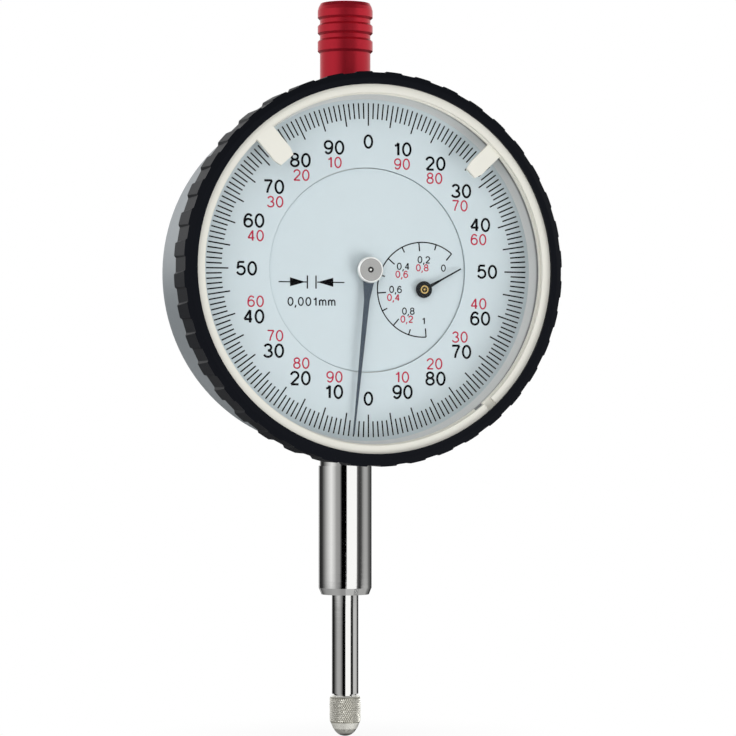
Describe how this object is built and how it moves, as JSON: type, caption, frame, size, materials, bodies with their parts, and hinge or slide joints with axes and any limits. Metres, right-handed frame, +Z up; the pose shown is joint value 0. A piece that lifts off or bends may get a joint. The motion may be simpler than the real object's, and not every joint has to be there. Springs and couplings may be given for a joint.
{
  "type": "precision dial indicator",
  "caption": "Precision dial indicator with an 8 mm clamping stem, spring-loaded spindle, revolution counter, turning bezel and two tolerance markers.",
  "frame": {"origin": "on the spindle axis, 9 mm above the chamfer at the stem's lower end, about the middle of its 18.4 mm of plain length", "axes": "+Z up along the spindle away from the contact point, -Y the way the dial faces, +X to the right as the dial is read"},
  "size_m": [0.058, 0.025, 0.1108],
  "materials": {
    "case_grey": "satin grey stove enamel on turned aluminium",
    "polished_steel": "ground and polished hardened steel",
    "screw_steel": "turned steel screws",
    "bronze": "turned bronze bushes",
    "plate_nickel": "nickel plated brass plate",
    "gear_brass": "cut brass wheels",
    "arbor_steel": "hardened and polished steel",
    "spring_steel": "drawn spring steel",
    "contact_steel": "knurled steel",
    "carbide": "polished hard metal ball",
    "cap_red": "red anodised aluminium",
    "dial_face": "matt pale grey-blue enamel with printed scale",
    "pointer_blue": "blued steel",
    "pointer_black": "black lacquer on steel",
    "boss_metal": "turned nickel silver",
    "boss_brass": "turned brass",
    "grip_black": "moulded black plastic with flutes",
    "bezel_metal": "satin turned aluminium",
    "crystal_clear": "clear polished acrylic",
    "marker_pale": "satin pale coated metal"
  },
  "bodies": {
    "case": {"case_shell": "case_grey", "back_cover": "case_grey", "back_cover_screws": "screw_steel", "stem": "polished_steel", "stem_guide_bush": "bronze", "top_collar": "polished_steel", "collar_guide_bush": "bronze", "movement_front_plate": "plate_nickel", "movement_rear_plate": "plate_nickel", "plate_pillars": "plate_nickel", "pillar_screws": "screw_steel", "movement_screws": "screw_steel", "front_plate_bushes": "bronze", "rear_plate_bushes": "bronze", "centre_dial_plate": "dial_face", "guide_bar": "plate_nickel", "guide_bar_screws": "screw_steel", "spindle_return_spring": "spring_steel", "hairspring": "spring_steel", "hairspring_stud": "gear_brass", "bezel_snap_ring": "spring_steel"},
    "spindle": {"spindle": "polished_steel", "contact_holder": "contact_steel", "contact_ball": "carbide", "lifting_cap": "cap_red", "spindle_carrier": "gear_brass", "carrier_screw": "screw_steel", "driver_pin": "arbor_steel", "guide_pin": "arbor_steel", "spindle_stop_ring": "spring_steel"},
    "lever": {"lever_sector": "arbor_steel", "lever_arbor": "arbor_steel"},
    "intermediate": {"intermediate_arbor": "arbor_steel", "intermediate_gear": "gear_brass"},
    "centre": {"centre_arbor": "arbor_steel", "main_pointer": "pointer_blue", "main_pointer_boss": "boss_metal"},
    "counter": {"counter_arbor": "arbor_steel", "counter_gear": "gear_brass", "hairspring_collet": "gear_brass", "small_pointer": "pointer_black", "small_pointer_boss": "boss_brass"},
    "bezel": {"bezel_grip_ring": "grip_black", "marker_carrier_ring": "bezel_metal", "crystal": "crystal_clear", "crystal_spacer": "bezel_metal", "scale_ring": "dial_face", "bezel_ring": "bezel_metal"},
    "marker_left": {"tolerance_marker_left": "marker_pale"},
    "marker_right": {"tolerance_marker_right": "marker_pale"}
  },
  "joints": [
    {"name": "main_pointer_turn", "type": "hinge", "parent": "case", "child": "centre", "pos_m": [0, 0, 0.0385], "axis": [0, 1, 0], "range_deg": [0, 2160.5]},
    {"name": "counter_pointer_turn", "type": "hinge", "parent": "case", "child": "counter", "pos_m": [0.00855, 0, 0.0357], "axis": [0, 1, 0], "range_deg": [-270.05, 0]},
    {"name": "intermediate_turn", "type": "hinge", "parent": "case", "child": "intermediate", "pos_m": [-0.01016, 0, 0.0325], "axis": [0, 1, 0], "range_deg": [-200.05, 0]},
    {"name": "lever_swing", "type": "hinge", "parent": "case", "child": "lever", "pos_m": [0.00401, 0, 0.027], "axis": [0, 1, 0], "range_deg": [0, 17.15]},
    {"name": "spindle_plunge", "type": "slide", "parent": "case", "child": "spindle", "axis": [0, 0, 1], "range_m": [0, 0.0012], "stiffness_N_per_m": 200, "springref_m": -0.004, "deforming": ["spindle_return_spring"]},
    {"name": "bezel_turn", "type": "hinge", "parent": "case", "child": "bezel", "pos_m": [0, 0, 0.0385], "axis": [0, 1, 0], "continuous": true},
    {"name": "marker_left_turn", "type": "hinge", "parent": "bezel", "child": "marker_left", "pos_m": [0, 0, 0.0385], "axis": [0, 1, 0], "continuous": true},
    {"name": "marker_right_turn", "type": "hinge", "parent": "bezel", "child": "marker_right", "pos_m": [0, 0, 0.0385], "axis": [0, 1, 0], "continuous": true}
  ],
  "couplings": [
    {"joint": "main_pointer_turn", "follows": "spindle_plunge", "rad_per_m": 31416},
    {"joint": "counter_pointer_turn", "follows": "spindle_plunge", "rad_per_m": -3927},
    {"joint": "intermediate_turn", "follows": "spindle_plunge", "rad_per_m": -2908.9},
    {"joint": "lever_swing", "follows": "spindle_plunge", "rad_per_m": 249.33}
  ]
}
